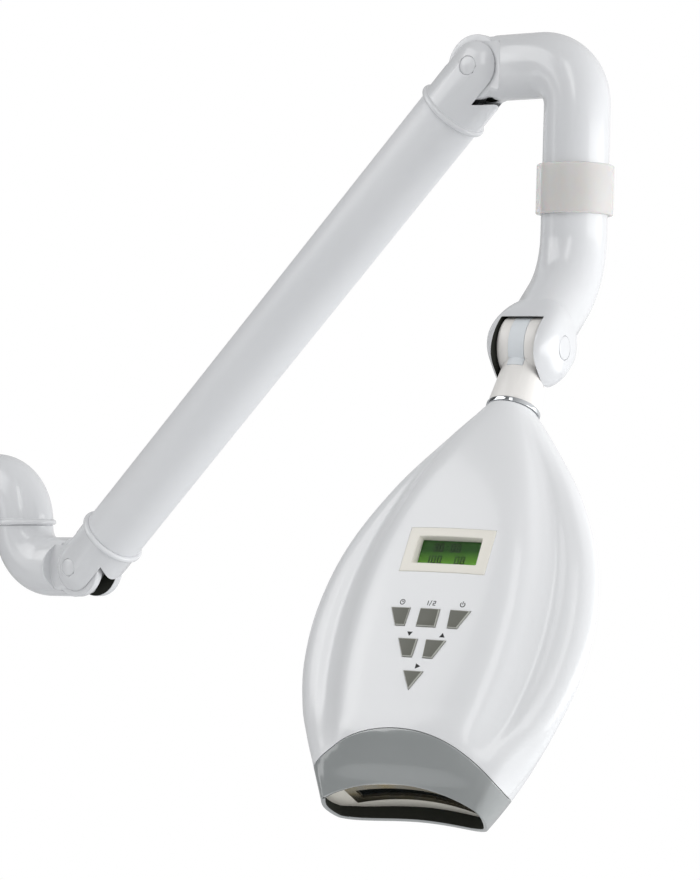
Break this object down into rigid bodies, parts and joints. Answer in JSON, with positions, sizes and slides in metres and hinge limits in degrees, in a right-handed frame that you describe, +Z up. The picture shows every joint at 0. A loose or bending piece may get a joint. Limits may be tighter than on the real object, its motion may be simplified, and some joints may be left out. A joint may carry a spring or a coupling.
{
  "type": "teeth whitening lamp",
  "caption": "Leaf-shaped teeth whitening lamp head with a display and keys, hung by a tilting knuckle from a jointed swing arm that plugs on a post.",
  "frame": {"origin": "centre of the mouth of the base elbow's socket", "axes": "+Z up, +X level along the arm's plane, away from the post; -Y is the side that the lamp head faces at rest"},
  "size_m": [0.5848, 0.2107, 0.4321],
  "materials": {
    "white_moulding": "gloss",
    "white_paint": "semi gloss powder coat",
    "frosted_sleeve": "frosted, translucent",
    "cream_moulding": "satin",
    "soft_inlay": "matt",
    "chrome": "polished",
    "steel": "turned",
    "bush_plastic": "turned",
    "head_moulding": "gloss lacquer",
    "nozzle_grey": "gloss lacquer",
    "window_glass": "polished",
    "mirror_sheet": "polished",
    "board": "solder mask",
    "emitter": "clear dome",
    "aluminium": "as extruded",
    "black_moulding": "moulded",
    "bezel_cream": "satin",
    "display_glass": "polished",
    "display": "backlit",
    "key_grey": "satin"
  },
  "bodies": {
    "base": {"base_elbow": "white_moulding", "socket_screws": "steel", "base_spindle": "steel", "base_spindle_clip": "steel"},
    "lower_elbow": {"lower_elbow": "white_moulding", "base_swivel_bush": "bush_plastic", "lower_hinge_bushes": "bush_plastic", "lower_link_pins": "steel"},
    "arm": {"arm_tube": "white_paint", "lower_arm_cap": "white_moulding", "upper_arm_cap": "white_moulding", "arm_hinge_pins": "steel", "pin_covers": "white_moulding", "cap_screws": "steel", "spring_seat": "steel"},
    "tie_link": {"tie_link": "steel"},
    "draw_rod": {"draw_rod": "steel", "balance_spring": "steel", "spring_nut": "steel"},
    "upper_elbow": {"upper_elbow": "white_moulding", "upper_hinge_bushes": "bush_plastic", "upper_link_pin": "steel", "swivel_sleeve": "frosted_sleeve", "head_swivel_bush": "bush_plastic"},
    "fork": {"fork": "white_moulding", "head_spindle": "steel", "head_spindle_clip": "steel", "tilt_pin": "steel", "fork_caps": "white_moulding"},
    "knuckle": {"knuckle": "cream_moulding", "knuckle_inlay": "soft_inlay", "knuckle_bush": "bush_plastic", "roll_bush": "bush_plastic", "chrome_ring": "chrome"},
    "head": {"front_shell": "head_moulding", "back_shell": "head_moulding", "nozzle": "nozzle_grey", "shell_screws": "steel", "roll_spindle": "steel", "roll_nut": "steel", "mouth_deck": "cream_moulding", "exit_window": "window_glass", "window_frame": "chrome", "reflector": "mirror_sheet", "led_board": "board", "led_emitters": "emitter", "heat_sink": "aluminium", "fan_frame": "black_moulding", "lcd_bezel": "bezel_cream", "lcd_glass": "display_glass", "lcd_module": "display", "control_board": "board", "key_switches": "black_moulding"},
    "fan_rotor": {"fan_rotor": "black_moulding"},
    "timer_key": {"timer_key": "key_grey"},
    "mode_key": {"mode_key": "key_grey"},
    "power_key": {"power_key": "key_grey"},
    "down_key": {"down_key": "key_grey"},
    "up_key": {"up_key": "key_grey"},
    "start_key": {"start_key": "key_grey"}
  },
  "joints": [
    {"name": "base_swivel", "type": "hinge", "parent": "base", "child": "lower_elbow", "pos_m": [0.07, 0, -0.027], "axis": [0, 0, 1], "range_deg": [-120, 120]},
    {"name": "arm_lift", "type": "hinge", "parent": "lower_elbow", "child": "arm", "pos_m": [0.126, 0, -0.0535], "axis": [0, -1, 0], "range_deg": [-78, 7], "deforming": ["balance_spring"]},
    {"name": "upper_hinge", "type": "hinge", "parent": "arm", "child": "upper_elbow", "pos_m": [0.43317, 0, 0.23294], "axis": [0, -1, 0], "range_deg": [-7.5, 78.5]},
    {"name": "tie_turn", "type": "hinge", "parent": "lower_elbow", "child": "tie_link", "pos_m": [0.126, 0, -0.0655], "axis": [0, -1, 0], "range_deg": [-78.5, 7.5]},
    {"name": "rod_turn", "type": "hinge", "parent": "lower_elbow", "child": "draw_rod", "pos_m": [0.126, 0, -0.0425], "axis": [0, -1, 0], "range_deg": [-78.5, 7.5]},
    {"name": "head_swivel", "type": "hinge", "parent": "upper_elbow", "child": "fork", "pos_m": [0.49365, 0, 0.15978], "axis": [0.0349, 0, 0.9994], "range_deg": [-60, 120]},
    {"name": "head_tilt", "type": "hinge", "parent": "fork", "child": "knuckle", "pos_m": [0.49747, -0.04951, 0.0696], "axis": [-0.9897, -0.1392, 0.0346], "range_deg": [-30, 45]},
    {"name": "head_roll", "type": "hinge", "parent": "knuckle", "child": "head", "pos_m": [0.49889, -0.06871, 0.03306], "axis": [-0.0345, 0.4649, 0.8847], "range_deg": [-90, 90]},
    {"name": "fan_spin", "type": "hinge", "parent": "head", "child": "fan_rotor", "pos_m": [0.49976, -0.09804, -0.06001], "axis": [-0.1392, 0.8744, -0.4649], "continuous": true},
    {"name": "timer_key_press", "type": "slide", "parent": "head", "child": "timer_key", "axis": [-0.1392, 0.8744, -0.4649], "range_m": [0, 0.0006], "stiffness_N_per_m": 250, "springref_m": -0.0008},
    {"name": "mode_key_press", "type": "slide", "parent": "head", "child": "mode_key", "axis": [-0.1392, 0.8744, -0.4649], "range_m": [0, 0.0006], "stiffness_N_per_m": 250, "springref_m": -0.0008},
    {"name": "power_key_press", "type": "slide", "parent": "head", "child": "power_key", "axis": [-0.1392, 0.8744, -0.4649], "range_m": [0, 0.0006], "stiffness_N_per_m": 250, "springref_m": -0.0008},
    {"name": "down_key_press", "type": "slide", "parent": "head", "child": "down_key", "axis": [-0.1392, 0.8744, -0.4649], "range_m": [0, 0.0006], "stiffness_N_per_m": 250, "springref_m": -0.0008},
    {"name": "up_key_press", "type": "slide", "parent": "head", "child": "up_key", "axis": [-0.1392, 0.8744, -0.4649], "range_m": [0, 0.0006], "stiffness_N_per_m": 250, "springref_m": -0.0008},
    {"name": "start_key_press", "type": "slide", "parent": "head", "child": "start_key", "axis": [-0.1392, 0.8744, -0.4649], "range_m": [0, 0.0006], "stiffness_N_per_m": 250, "springref_m": -0.0008}
  ],
  "couplings": [
    {"joint": "upper_hinge", "follows": "arm_lift", "ratio": -1},
    {"joint": "tie_turn", "follows": "arm_lift", "ratio": 1},
    {"joint": "rod_turn", "follows": "arm_lift", "ratio": 1}
  ]
}
